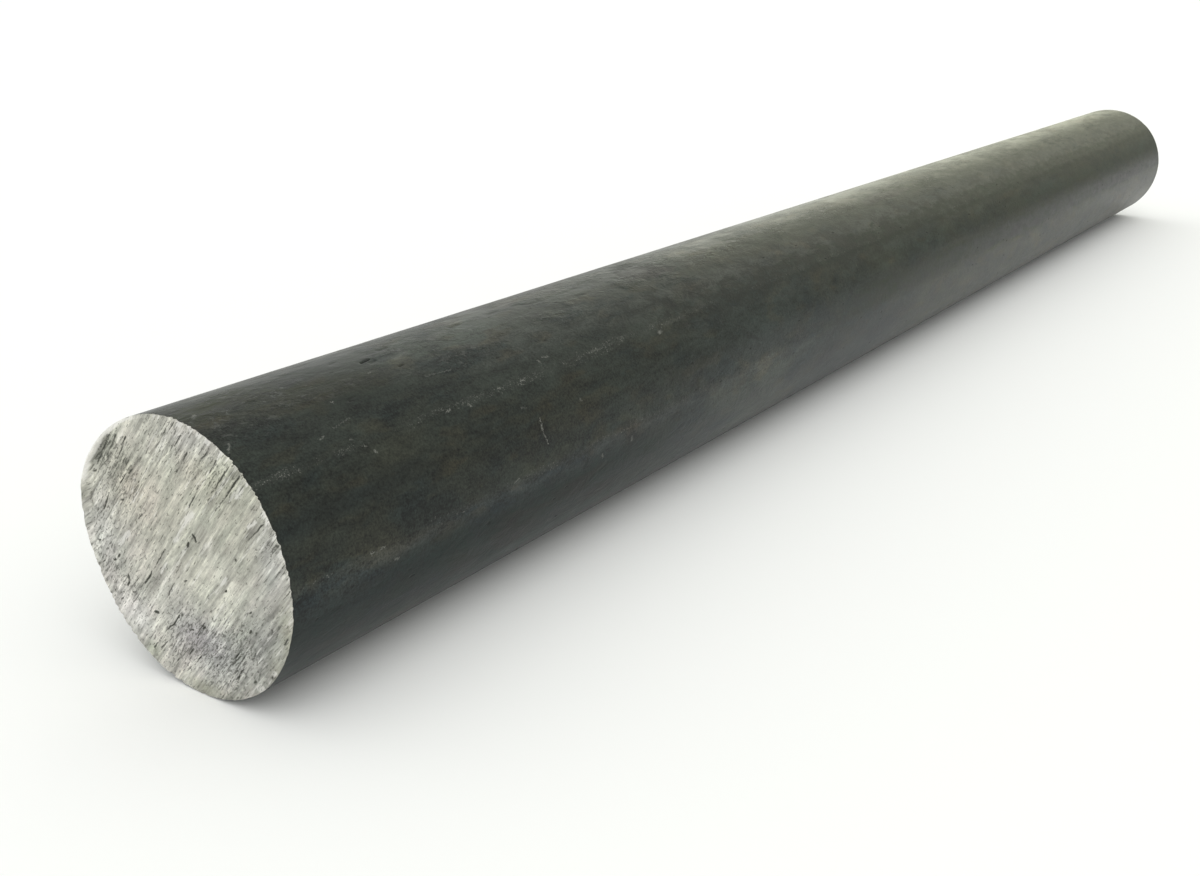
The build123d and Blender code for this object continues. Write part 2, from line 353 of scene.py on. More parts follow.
# Broad tones: (s0, s1, soft, angle0, angle1, soft, red, green, blue), thousandths added to the colour between
# the two lengths and angles, s as above; partly the scale's own tone, partly painted sheen along the top and painted
# shade down the side.
TONE_AND_PAINTED_LIGHT_BANDS = [
    (-20, 22, 9, -8, 11, 4, -10, -10, -13), (38, 62, 7, -8, 20, 5, 5, 7, 6), (104, 128, 7, -2, 20, 4, -18, -18, -14),
    (20, 36, 5, -2, 32, 5, -6, -6, -5), (36, 102, 9, -6, 26, 5, 4, 4, 4), (50, 105, 9, 22, 38, 3, 6, 6, 6),
    (130, 520, 18, -6, 8, 2.5, 9, 9, 8), (150, 520, 22, 12, 22, 3, -13, -13, -12),
    (118, 195, 18, 40, 84, 3, 1, 2, 3), (205, 520, 30, 55, 69, 4, 0, 2, 2),
    (180, 520, 22, 74, 90, 3.5, -9, -9, -12), (275, 520, 20, 64, 94, 4, -4, -4, -5),
    (224, 246, 9, -8, 22, 5, -16, -16, -14),
    (50, 130, 10, 80, 87, 2.5, 4, 5, 3), (-20, 165, 8, 86.5, 93, 2.0, 6, 6, 6),
    (-20, 30, 8, 100, 128, 6, -8, -8, -8), (28, 100, 17, 97, 126, 7, -14, -13, -14),
    (120, 162, 15, 86, 132, 6, 13, 14, 10), (224, 520, 18, 88.3, 150, 3.0, 9, 8, 2),
    (-20, 22, 6, 84, 95, 3, 8, 8, 5), (-20, 30, 8, 60, 69, 3, -4, -4, -2),
]
# Where the scale is flecked with small bare specks: (s0, s1, soft, angle0, angle1, soft, strength).
FLECKED = [
    (28, 72, 7, 38, 50, 3, 1.0), (-20, 30, 7, 40, 58, 5, 0.36), (12, 26, 3, 85, 97, 3, 0.7), (40, 64, 5, 84, 92, 2.5, 0.5),
    (72, 110, 8, 43, 51, 3, 0.5),
]


def window(x, x0, x1, soft):
    """1 between x0 and x1, falling off over soft either side."""
    return smooth(x0 - soft, x0 + soft, x) * smooth(x1 + soft, x1 - soft, x)


def skin_tone_and_painted_light(s, phi):
    """What is added to the skin's colour, partly its own tone and partly painted sheen and shade, and how flecked it
    is. phi in degrees from the top.
    """
    phi = (phi + 180) % 360 - 180
    phi = phi + 1.6 * noise2(s / 6, phi / 7, 320) + 0.8 * noise2(s / 2.5, phi / 4, 321)
    s = s - PLANE[-1] + 5 * noise2(s / 15, phi / 12, 322)
    out = np.zeros((len(s), 3))
    for s0, s1, ds, p0, p1, dp, *colour in TONE_AND_PAINTED_LIGHT_BANDS:
        out = out + np.outer(window(s, s0, s1, ds) * window(phi, p0, p1, dp), colour)
    flecks = np.zeros(len(s))
    for s0, s1, ds, p0, p1, dp, strength in FLECKED:
        flecks = np.maximum(flecks, strength * window(s, s0, s1, ds) * window(phi, p0, p1, dp))
    return out, flecks


def skin_height(s, phi):
    """Height of the skin over the nominal radius, never above it. s in mm from the -X end, phi in degrees."""
    p = np.radians(phi)
    y, z = R * np.sin(p), R * np.cos(p)
    h = -0.018 + 0.014 * noise3(s / 42, y / 13, z / 13, 301)
    h = h + 0.016 * noise3(s / 11, y / 5, z / 5, 302)
    h = h + 0.009 * noise3(s / 3.4, y / 2.1, z / 2.1, 303)
    # A shallow flat lies between each pair of arrises that the rolls left.
    edges = np.array(ARRISES)
    d = np.abs((phi[:, None] - edges[None] + 180) % 360 - 180)
    near = d.min(1)
    wobble = 1 + 0.3 * noise3(s / 60, y / 9, z / 9, 304)
    h = h - 0.052 * wobble * (1 - np.exp(-near / 6.0))
    q = np.radians((phi + 180) % 360 - 180) * R
    for s0, p0, s1, p1, w, depth, _ in DENTS:
        h = h - depth * capsule(s - PLANE[-1], q, s0, math.radians(p0) * R, s1, math.radians(p1) * R, w)
    return np.minimum(h, -0.004)


def skin_dark(s, phi):
    q = np.radians((phi + 180) % 360 - 180) * R
    dark = np.zeros(len(s))
    for s0, p0, s1, p1, w, _, dk in DENTS:
        dark = np.maximum(dark, dk * capsule(s - PLANE[-1], q, s0, math.radians(p0) * R, s1, math.radians(p1) * R, w))
    return dark


# ---- one closed mesh --------------------------------------------------------
N_RIM, N_SKIN = 768, 256
co, faces, face_uv, face_mat = [], [], [], []
dark_at, light_at, tone_and_painted_light_at, coarse_at = [], [], [], []
PX = 1 / 1024


def add(points, dark, light, tone, coarse):
    """Adds vertices and returns their numbers."""
    first = sum(len(c) for c in co)
    co.append(points)
    dark_at.append(dark)
    light_at.append(light)
    tone_and_painted_light_at.append(tone)
    coarse_at.append(coarse)
    return np.arange(first, first + len(points))


def to_row(end, a, b, depth):
    """An end's own plane to the row frame. Seen from outside, right is -Y on the -X end and +Y on the other."""
    return np.stack([end * (HALF - depth), a if end > 0 else -a, AXIS_Z + b], 1)


# The map: the -X end's disc is larger than the other's, since it shows more.
COLUMN = 400
DISC = {-1: (1024 - COLUMN // 2, 200, 196), 1: (1024 - COLUMN // 2, 560, 150)}  # centre and half width, in px


def disc_uv(end, a, b):
    """Where a point of an end, with its rim turned flat, lies on the map."""
    cx, cy, half = DISC[end]
    k = half / (R + 1.0) * PX
    return np.stack([cx * PX + a * k, cy * PX + b * k], 1)


rim = {}
for end in (-1, 1):
    phi = np.arange(N_RIM) * 360 / N_RIM  # from the top towards -Y
    p = np.radians(phi)
    side = -end  # a is -y on the -X end
    a1, b1 = side * np.sin(p), np.cos(p)
    k = 400 if end < 0 else 500
    r_out = R + skin_height(np.full(N_RIM, 1.0 if end < 0 else LENGTH - 1.0), phi)
    # The rim is broken back unevenly: most where the grooves run out over it.
    u1, v1 = saw_frame(a1 * R, b1 * R, end)
    leaving = smooth(0.35, 0.8, np.abs(u1) / R)
    notch = noise2(v1 / 0.34, np.sign(u1) * 3 + 0.5 + 0 * v1, k + 3)
    leg = 0.15 + 0.05 * noise2(p * 9, 0 * p, k + 1) + 0.04 * noise2(p * 40, 0 * p, k + 2)
    leg = leg + np.where(u1 > 0, 0.17, 0.13) * leaving * smooth(0.1, 0.7, notch) + 0.05 * (1 - leaving) * smooth(0, 0.8, noise2(p * 25, 0 * p, k + 6))
    leg = np.clip(leg, 0.09, 0.44)
    r_in = r_out - leg
    depth_in, dk, lt, tone, cs = sawn_end(a1 * r_in, b1 * r_in, end)
    depth_out = depth_in + leg * (0.65 + 0.25 * noise2(p * 21, 0 * p, k + 4)) + 0.08 * leaving * smooth(0.2, 0.9, notch)
    r_mid, depth_mid = (r_in + r_out) / 2 + 0.14 * leg, (depth_in + depth_out) / 2 - 0.10 * leg
    worn = smooth(0.0, 0.8, noise2(p * 40, 0 * p, k + 5))
    ring_in = add(to_row(end, a1 * r_in, b1 * r_in, depth_in), dk, lt, tone, cs)
    ring_mid = add(to_row(end, a1 * r_mid, b1 * r_mid, np.maximum(depth_mid, 0.02)), 0.5 * dk + 0.05, np.maximum(lt, 0.5 * worn), tone, cs)
    ring_out = add(to_row(end, a1 * r_out, b1 * r_out, depth_out), 0.45 - 0.25 * worn, 0.2 * worn, 0.9 * tone, cs)
    at3 = [disc_uv(end, a1 * (r_in + leg * f), b1 * (r_in + leg * f)) for f in (0, 0.7, 1.4)]
    for (q0, w0), (q1, w1) in zip(((ring_in, at3[0]), (ring_mid, at3[1])), ((ring_mid, at3[1]), (ring_out, at3[2]))):
        for i in range(N_RIM):
            j = (i + 1) % N_RIM
            loop, at = [q0[i], q1[i], q1[j], q0[j]], [w0[i], w1[i], w1[j], w0[j]]
            if end < 0:
                loop, at = loop[::-1], at[::-1]
            faces.append(loop)
            face_uv.append(at)
            face_mat.append(1)
    # Rings of points just inside the rim, which carry the burr's wall.
    inside_a, inside_b = [], []
    for n, back in enumerate((0.15, 0.33, 0.52, 0.72)):
        q = p + (n % 2 + 1) * math.pi / N_RIM * (1 if n % 2 == 0 else 0)
        radius = np.interp(np.degrees(q) % 360, np.append(phi, 360), np.append(r_in, r_in[0])) - back
        inside_a.append(side * np.sin(q) * radius)
        inside_b.append(np.cos(q) * radius)
    # Further in: points in rows along the saw marks, close together across them.
    dv, du = (0.118, 0.385) if end < 0 else (0.25, 0.75)
    pts = []
    rng = np.random.default_rng(k + 6)
    for n, v in enumerate(np.arange(-R, R, dv)):
        us = np.arange(-R, R, du) + (n % 2) * du / 2
        us = us + rng.uniform(-0.06, 0.06, len(us)) * du
        pts.append(np.stack([us, np.full(len(us), v)], 1))
    pts = np.concatenate(pts)
    c_, s_ = math.cos(SAW_ANGLE[end]), math.sin(SAW_ANGLE[end])
    pa, pb = pts[:, 0] * c_ - pts[:, 1] * s_, pts[:, 0] * s_ + pts[:, 1] * c_
    rr = np.hypot(pa, pb)
    ang = np.degrees(np.arctan2(side * pa, pb)) % 360
    limit = np.interp(ang, np.append(phi, 360), np.append(r_in, r_in[0]))
    keep = rr < limit - 0.84
    pa, pb = np.concatenate([*inside_a, pa[keep]]), np.concatenate([*inside_b, pb[keep]])
    depth, dk, lt, tone, cs = sawn_end(pa, pb, end)
    inner = add(to_row(end, pa, pb, depth), dk, lt, tone, cs)
    # Triangles, with distances along the marks shrunk so that they come out long that way.
    all_a, all_b = np.concatenate([a1 * r_in, pa]), np.concatenate([b1 * r_in, pb])
    number = np.concatenate([ring_in, inner])
    uu, vv = saw_frame(all_a, all_b, end)
    flat = [Vector((x * dv / du, y)) for x, y in zip(uu, vv)]
    got = delaunay_2d_cdt(flat, [(i, (i + 1) % N_RIM) for i in range(N_RIM)], [], 1, 1e-7)
    origin = [o[0] if o else -1 for o in got[3]]
    at_all = disc_uv(end, all_a, all_b)
    for tri in got[2]:
        t = [origin[i] for i in tri]
        if min(t) < 0 or len(set(t)) < 3:
            continue
        ax, ay = all_a[t[1]] - all_a[t[0]], all_b[t[1]] - all_b[t[0]]
        bx, by = all_a[t[2]] - all_a[t[0]], all_b[t[2]] - all_b[t[0]]
        if ax * by - ay * bx < 0:
            t = t[::-1]
        faces.append([number[i] for i in t])
        face_uv.append([at_all[i] for i in t])
        face_mat.append(1)
    rim[end] = {"ring": ring_out, "inner": ring_in, "depth": depth_out}

# Rows of the skin, close together by the ends.
near, step = [0.5, 1.2], 1.0
while near[-1] < 150:
    near.append(near[-1] + step)
    step = min(step * 1.014, 3.2)
far, step = [0.5, 1.3], 1.2
while far[-1] < 60:
    far.append(far[-1] + step)
    step = min(step * 1.08, 5.0)
mid = list(np.linspace(near[-1], LENGTH - far[-1], int((LENGTH - far[-1] - near[-1]) / 5.0) + 1)[1:-1])
s_rows = np.array(near + mid + [LENGTH - s for s in far[::-1]])
FINE = 2  # rows by each end that keep the rim's spacing

# The skin lies on the map in four pieces of the length, each the whole way round.
WIDE = (1024 - COLUMN) // 2
CUTS = [0.0, 105.0, 235.0, 368.0, float(LENGTH)]
BOXES = [(0, 0), (WIDE, 0), (0, 512), (WIDE, 512)]
cut_rows = [0] + [int(np.argmin(np.abs(s_rows - c))) for c in CUTS[1:-1]] + [len(s_rows) - 1]
CUTS = [0.0] + [float(s_rows[i]) for i in cut_rows[1:-1]] + [float(LENGTH)]


def skin_uv(s, phi, part):
    x0, y0 = BOXES[part]
    fx = (s - CUTS[part]) / (CUTS[part + 1] - CUTS[part])
    return ((x0 + 4 + fx * (WIDE - 8)) * PX, (y0 + 4 + phi / 360 * 504) * PX)


def around(values, half):
    """Moving average round the rim."""
    out = np.zeros(len(values))
    for i in range(-half, half + 1):
        out += np.roll(values, i)
    return out / (2 * half + 1)


d_near, d_far = rim[-1]["depth"], rim[1]["depth"]
soft_near, soft_far = around(d_near, 12), around(d_far, 12)
rings = [(rim[-1]["ring"], N_RIM, d_near)]
for n, s in enumerate(s_rows):
    count = N_RIM if n < FINE or n >= len(s_rows) - FINE else N_SKIN
    phi = np.arange(count) * 360 / count
    hop = N_RIM // count
    # Rows by an end follow its uneven edge.
    blend = smooth(0.4, 3.0, s)
    shift = (d_near * (1 - blend) + soft_near * blend)[::hop]
    blend = smooth(0.4, 3.0, LENGTH - s)
    shift2 = (d_far * (1 - blend) + soft_far * blend)[::hop]
    s_here = s + shift * max(0.0, 1 - s / 25) ** 2 - shift2 * max(0.0, 1 - (LENGTH - s) / 25) ** 2
    h = skin_height(s_here, phi)
    p = np.radians(phi)
    pts = np.stack([s_here - HALF, -(R + h) * np.sin(p), AXIS_Z + (R + h) * np.cos(p)], 1)
    tones_and_painted_light, flecks = skin_tone_and_painted_light(s_here, phi)
    ring = add(pts, skin_dark(s_here, phi), flecks, tones_and_painted_light, np.zeros(count))
    rings.append((ring, count, s_here))
rings.append((rim[1]["ring"], N_RIM, LENGTH - d_far))

for n in range(len(rings) - 1):
    (r0, n0, s0), (r1, n1, s1) = rings[n], rings[n + 1]
    part = next(i for i in range(4) if i == 3 or n <= cut_rows[i + 1])
    least = min(n0, n1)
    k0, k1 = n0 // least, n1 // least
    for i in range(least):
        low = [i * k0 + t for t in range(k0 + 1)]
        high = [i * k1 + t for t in range(k1 + 1)]
        faces.append([r0[t % n0] for t in low] + [r1[t % n1] for t in high[::-1]])
        at = [skin_uv(s0[t % n0], t * 360 / n0, part) for t in low]
        face_uv.append(at + [skin_uv(s1[t % n1], t * 360 / n1, part) for t in high[::-1]])
        face_mat.append(0)

co = np.concatenate(co)
dark_at, light_at, tone_and_painted_light_at, coarse_at = (np.concatenate(v) for v in (dark_at, light_at, tone_and_painted_light_at, coarse_at))

mesh = bpy.data.meshes.new("bar_of_steel")
mesh.from_pydata([tuple(c) for c in co], [], [[int(i) for i in f] for f in faces])
uv = mesh.uv_layers.new(name="OFBake")
uv.uv.foreach_set("vector", np.concatenate([np.array(f, float).reshape(-1, 2) for f in face_uv]).astype(np.float32).ravel())
mesh.polygons.foreach_set("material_index", np.array(face_mat, np.int32))
mesh.polygons.foreach_set("use_smooth", np.ones(len(faces), bool))
for name, values in (("dark", dark_at), ("light", light_at), ("coarse", coarse_at)):
    layer = mesh.attributes.new(name, "FLOAT", "POINT")
    layer.data.foreach_set("value", values.astype(np.float32))
# 'tone' carries each point's tone, with painted groove shade on the ends and painted sheen and shade bands on the skin.
layer = mesh.attributes.new("tone", "FLOAT_VECTOR", "POINT")
layer.data.foreach_set("vector", tone_and_painted_light_at.astype(np.float32).ravel())

# Closer points where the skin is dented, so that the dents keep their shape.
bm = bmesh.new()
bm.from_mesh(mesh)
bm.faces.ensure_lookup_table()
for s0, p0, s1, p1, w, _, _ in DENTS:
    if w > 0.5:
        continue
    picked = set()
    for f in bm.faces:
        if f.material_index != 0:
            continue
        c = f.calc_center_median()
        if not min(s0, s1) - 1.6 < c.x + HALF - PLANE[-1] < max(s0, s1) + 1.6:
            continue
        q = math.degrees(math.atan2(-c.y, c.z - AXIS_Z))
        if min(p0, p1) - 3.0 < q < max(p0, p1) + 3.0:
            picked.update(f.edges)
    bmesh.ops.subdivide_edges(bm, edges=list(picked), cuts=3, use_grid_fill=True)
wide = [f for f in bm.faces if len(f.verts) > 4]
bmesh.ops.triangulate(bm, faces=wide, quad_method="BEAUTY", ngon_method="BEAUTY")
bm.to_mesh(mesh)
bm.free()

flat_co = np.empty(len(mesh.vertices) * 3, np.float32)
mesh.vertices.foreach_get("co", flat_co)
xyz = flat_co.reshape(-1, 3).astype(float)
new = np.arange(len(xyz)) >= len(co)
s_new = xyz[new, 0] + HALF
phi_new = np.degrees(np.arctan2(-xyz[new, 1], xyz[new, 2] - AXIS_Z)) % 360
r_new = R + skin_height(s_new, phi_new)
xyz[new, 1] = -r_new * np.sin(np.radians(phi_new))
xyz[new, 2] = AXIS_Z + r_new * np.cos(np.radians(phi_new))
dark_now = np.empty(len(xyz), np.float32)
mesh.attributes["dark"].data.foreach_get("value", dark_now)
dark_now[new] = skin_dark(s_new, phi_new)
mesh.attributes["dark"].data.foreach_set("value", dark_now)
mesh.vertices.foreach_set("co", (xyz / 1000).astype(np.float32).ravel())
mesh.update()
mesh.set_sharp_from_angle(angle=math.radians(50))
# The rim's own two edges stay crisp.
ring_of = np.zeros(len(mesh.vertices), np.int32)
for n, end in enumerate((-1, 1)):
    ring_of[rim[end]["inner"]], ring_of[rim[end]["ring"]] = 2 * n + 1, 2 * n + 2
ends = np.empty(len(mesh.edges) * 2, np.int32)
mesh.edges.foreach_get("vertices", ends)
ends = ring_of[ends.reshape(-1, 2)]
sharp = np.empty(len(mesh.edges), bool)
mesh.edges.foreach_get("use_edge_sharp", sharp)
mesh.edges.foreach_set("use_edge_sharp", sharp | ((ends[:, 0] > 0) & (ends[:, 0] == ends[:, 1])))
mesh.validate()
bar = bpy.data.objects.new("bar", mesh)
scene.collection.objects.link(bar)
triangles = sum(len(p.vertices) - 2 for p in mesh.polygons)
print("bar: %d vertices, %d faces, %d triangles" % (len(mesh.vertices), len(mesh.polygons), triangles))


# ---- materials --------------------------------------------------------------
class Tree:
    """Short ways to add nodes to a material."""

    def __init__(self, name):
        self.mat = bpy.data.materials.new(name)
        self.mat.use_nodes = True
        self.nt = self.mat.node_tree
        self.nt.nodes.clear()
        self.out = self.nt.nodes.new("ShaderNodeOutputMaterial")
        self.bsdf = self.nt.nodes.new("ShaderNodeBsdfPrincipled")
        self.nt.links.new(self.bsdf.outputs[0], self.out.inputs["Surface"])

    def node(self, kind, **props):
        n = self.nt.nodes.new(kind)
        for key, value in props.items():
            setattr(n, key, value)
        return n

    def put(self, socket, value):
        if isinstance(value, bpy.types.NodeSocket):
            self.nt.links.new(value, socket)
        elif value is not None:
            socket.default_value = value

    def math(self, op, a, b=None, c=None, clamp=False):
        n = self.node("ShaderNodeMath", operation=op, use_clamp=clamp)
        for i, v in enumerate((a, b, c)):
            self.put(n.inputs[i], v)
        return n.outputs[0]

    def add(self, *values):
        out = values[0]
        for v in values[1:]:
            out = self.math("ADD", out, v)
        return out

    def mul(self, *values):
        out = values[0]
        for v in values[1:]:
            out = self.math("MULTIPLY", out, v)
        return out

    def centred(self, value, gain):
        """Noise from 0 to 1, made to run either side of 0."""
        return self.math("MULTIPLY_ADD", value, gain, -0.5 * gain)

    def vmath(self, op, a, b=None, scale=None):
        n = self.node("ShaderNodeVectorMath", operation=op)
        self.put(n.inputs[0], a)
        if b is not None:
            self.put(n.inputs[1], b)
        if scale is not None:
            self.put(n.inputs["Scale"], scale)
        return n.outputs["Value"] if op in ("LENGTH", "DOT_PRODUCT", "DISTANCE") else n.outputs[0]

    def noise(self, vector, scale=1.0, detail=2.0, rough=0.5, distort=0.0, colour=False):
        n = self.node("ShaderNodeTexNoise", noise_dimensions="3D")
        self.put(n.inputs["Vector"], vector)
        self.put(n.inputs["Scale"], scale)
        self.put(n.inputs["Detail"], detail)
        self.put(n.inputs["Roughness"], rough)
        self.put(n.inputs["Distortion"], distort)
        return n.outputs["Color" if colour else "Fac"]

    def span(self, value, a, b, c=0.0, d=1.0, smooth=True):
        n = self.node("ShaderNodeMapRange", interpolation_type="SMOOTHSTEP" if smooth else "LINEAR")
        self.put(n.inputs["Value"], value)
        for key, v in zip(("From Min", "From Max", "To Min", "To Max"), (a, b, c, d)):
            self.put(n.inputs[key], v)
        return n.outputs["Result"]

    def mix(self, fac, a, b, blend="MIX"):
        n = self.node("ShaderNodeMix", data_type="RGBA", blend_type=blend)
        self.put(n.inputs[0], fac)
        self.put(n.inputs[6], a if isinstance(a, bpy.types.NodeSocket) else (*a, 1.0))
        self.put(n.inputs[7], b if isinstance(b, bpy.types.NodeSocket) else (*b, 1.0))
        return n.outputs[2]

    def tint(self, fac, colour, by):
        """Colour multiplied by the triple, as far as fac says."""
        return self.mix(fac, colour, self.mix(1.0, colour, by, "MULTIPLY"))

    def attribute(self, name, kind="Fac"):
        return self.node("ShaderNodeAttribute", attribute_name=name).outputs[kind]

    def place(self):
        """Object coordinates in mm from the bar's axis."""
        n = self.node("ShaderNodeTexCoord")
        v = self.vmath("SCALE", n.outputs["Object"], scale=1000.0)
        return self.vmath("SUBTRACT", v, (0.0, 0.0, AXIS_Z))

    def parts(self, vector):
        n = self.node("ShaderNodeSeparateXYZ")
        self.put(n.inputs[0], vector)
        return n.outputs

    def join(self, x, y, z=0.0):
        n = self.node("ShaderNodeCombineXYZ")
        for i, v in enumerate((x, y, z)):
            self.put(n.inputs[i], v)
        return n.outputs[0]

    def bump(self, height, distance, strength=1.0, normal=None):
        n = self.node("ShaderNodeBump")
        self.put(n.inputs["Height"], height)
        self.put(n.inputs["Distance"], distance)
        self.put(n.inputs["Strength"], strength)
        self.put(n.inputs["Normal"], normal)
        return n.outputs[0]

    def cells(self, vector, scale, randomness=1.0):
        """Distance to the nearest scattered point, and three random numbers of that point."""
        n = self.node("ShaderNodeTexVoronoi", feature="F1")
        self.put(n.inputs["Vector"], vector)
        self.put(n.inputs["Scale"], scale)
        self.put(n.inputs["Randomness"], randomness)
        c = self.node("ShaderNodeSeparateColor")
        self.put(c.inputs[0], n.outputs["Color"])
        return n.outputs["Distance"], c.outputs

    def stroke(self, p, x0, y0, x1, y1, w):
        """1 on a line, 0 from w away."""
        d = (x1 - x0, y1 - y0, 0.0)
        l2 = d[0] * d[0] + d[1] * d[1] + 1e-9
        rel = self.vmath("SUBTRACT", p, (x0, y0, 0.0))
        t = self.math("MULTIPLY", self.vmath("DOT_PRODUCT", rel, d), 1 / l2, clamp=True)
        n = self.node("ShaderNodeVectorMath", operation="SCALE")
        n.inputs[0].default_value = d
        self.put(n.inputs["Scale"], t)
        dist = self.vmath("DISTANCE", rel, n.outputs[0])
        return self.span(dist, w, w * 0.25)


def mill_scale():
    t = Tree("mill_scale")
    at = t.place()
    x, y, z = t.parts(at)
    long_ = t.vmath("MULTIPLY", at, (0.40, 1.0, 1.0))  # stretched along the bar, as rolling leaves it
    longer = t.vmath("MULTIPLY", at, (0.12, 1.0, 1.0))
    turn = t.math("ARCTAN2", t.math("MULTIPLY", y, -1.0), z)
    phi = t.mul(turn, 180 / math.pi)
    s = t.math("ADD", x, HALF - PLANE[-1])
    flat = t.join(s, t.mul(turn, R), 0.0)  # the skin rolled out

    big = t.noise(long_, 0.055, 3.0, 0.55, 0.4)
    patches = t.noise(long_, 0.17, 4.0, 0.60, 0.5)
    mottle = t.noise(long_, 0.50, 5.0, 0.65, 0.4)
    mottle2 = t.noise(at, 1.5, 3.0, 0.60, 0.2)
    grain = t.noise(at, 2.8, 3.0, 0.72)
    streak = t.noise(longer, 1.6, 3.0, 0.65)

    # Broad tone: olive brown towards the top, near black on the side, cooler below the lower arris.
    upper = t.span(t.add(phi, t.centred(patches, 44.0)), 44.0, 6.0)
    lower = t.span(t.add(phi, t.centred(mottle, 9.0)), 85.5, 92.0)
    col = t.mix(upper, (0.0146, 0.0184, 0.0148), (0.0198, 0.0240, 0.0172))
    col = t.mix(lower, col, (0.0150, 0.0200, 0.0190))
    # The 'tone' attribute brings the skin's broad bands: partly its own tone, partly painted sheen along the top and
    # painted shade down the side.
    uneven = t.math("MULTIPLY_ADD", patches, 0.0026, 0.001 - 0.5 * 0.0026)
    col = t.vmath("ADD", col, t.vmath("SCALE", t.attribute("tone", "Vector"), scale=uneven))
    # Painted sheen and shade: away from the near end a painted lighter strip just above about 38 degrees ends raggedly
    # there, with painted shade on the flat below it.
    past = t.span(t.add(phi, t.centred(mottle, 26.0), t.centred(mottle2, 12.0)), 37.2, 40.0)
    lift = t.mul(t.span(phi, 26.0, 32.0), t.math("SUBTRACT", 1.0, past), 0.011)
    painted_shade_below_top = t.mul(past, t.span(phi, 54.0, 49.0), t.span(s, 130.0, 215.0, 0.30, 1.0), -0.012)
    step = t.mul(t.add(lift, painted_shade_below_top), t.span(s, 94.0, 132.0))
    col = t.vmath("ADD", col, t.vmath("SCALE", (1.0, 0.95, 0.96), scale=step))
    col = t.vmath("MAXIMUM", col, (0.002, 0.002, 0.002))
    # Hue wanders between brown, green and steel blue.
    col = t.tint(t.span(big, 0.50, 0.64), col, (1.16, 1.01, 0.88))
    col = t.tint(t.span(patches, 0.50, 0.34), col, (0.84, 0.98, 1.14))
    low = t.add(1.0, t.mul(t.span(phi, 70.0, 84.0), t.span(s, 140.0, 220.0), 0.55))  # mottled more there
    col = t.tint(t.span(t.noise(long_, 0.30, 2.0, 0.5), 0.54, 0.68), col, (1.20, 1.03, 0.90))
    tone = t.add(
        1.0, t.mul(t.centred(patches, 2.4), t.span(phi, 45.0, 75.0, 1.0, 0.72)), t.mul(t.centred(mottle, 2.1), low), t.mul(t.centred(mottle2, 1.45), low), t.centred(grain, 3.15), t.centred(streak, 0.5)
    )
    col = t.vmath("SCALE", col, scale=t.math("MAXIMUM", tone, 0.18))

    # The scale is rubbed through in specks along the arrises that the rolls left.
    wander = t.centred(t.noise(longer, 0.9, 2.0), 7.0)
    p2 = t.add(phi, wander)
    line = None
    for centre, half in ((47.0, 1.7), (88.0, 1.2), (139.0, 1.6), (-163.0, 1.6), (-133.0, 1.6), (-92.0, 1.6), (-44.0, 1.6)):
        d = t.math("DIVIDE", t.math("SUBTRACT", p2, centre), half)
        one = t.mul(t.math("EXPONENT", t.mul(d, d, -0.5)), 0.62 if centre == 88.0 else 1.0)
        line = one if line is None else t.math("MAXIMUM", line, one)
    along = t.span(t.noise(t.vmath("MULTIPLY", at, (1.0, 0.2, 0.2)), 0.07, 4.0, 0.7), 0.26, 0.56)
    rubbed = t.mul(line, along, t.span(s, 85.0, 125.0, 1.0, 0.60))
    fine = t.noise(at, 3.6, 3.0, 0.70)
    fine2 = t.noise(at, 1.9, 3.0, 0.70)
    chips = t.mul(t.span(t.add(fine, t.mul(rubbed, 0.095)), 0.655, 0.720), t.span(rubbed, 0.05, 0.6), t.span(mottle2, 0.38, 0.60, 0.12, 0.95))
    chips2 = t.mul(t.span(t.add(fine2, t.mul(rubbed, 0.060)), 0.665, 0.73), t.span(rubbed, 0.02, 0.5), 0.75)
    flecked = t.attribute("light")
    lone = t.mul(t.span(t.add(fine, t.centred(patches, 0.16), t.mul(flecked, 0.075)), 0.765, 0.82), 0.75)
    bare = t.math("MAXIMUM", t.math("MAXIMUM", chips, chips2), lone)
    ragged = t.vmath("SUBTRACT", t.noise(at, 3.0, 2.0, 0.6, colour=True), (0.5, 0.5, 0.5))
    p = t.vmath("ADD", flat, t.vmath("SCALE", ragged, scale=1.1))
    rubs = None
    for s0, p0, s1, p1, w, strength in RUBS:
        m = t.mul(t.stroke(p, s0, math.radians(p0) * R, s1, math.radians(p1) * R, w * 1.5), strength)
        rubs = m if rubs is None else t.math("MAXIMUM", rubs, m)
    bare = t.math("MAXIMUM", bare, t.mul(rubs, t.span(fine, 0.32, 0.54, 0.30, 1.25)))
    dusty = t.mul(t.span(rubbed, 0.05, 0.9), t.span(mottle, 0.35, 0.65, 0.05, 0.32))
    col = t.mix(dusty, col, (0.034, 0.036, 0.031))
    col = t.mix(t.mul(bare, 0.85), col, (0.170, 0.172, 0.155))

    # Small rolled-in pits, and the dents' dark beds.
    far_, pick = t.cells(long_, 0.75)
    pit = t.mul(t.math("LESS_THAN", pick[0], 0.07), t.span(t.add(far_, t.centred(fine, 0.25)), 0.26, 0.06))
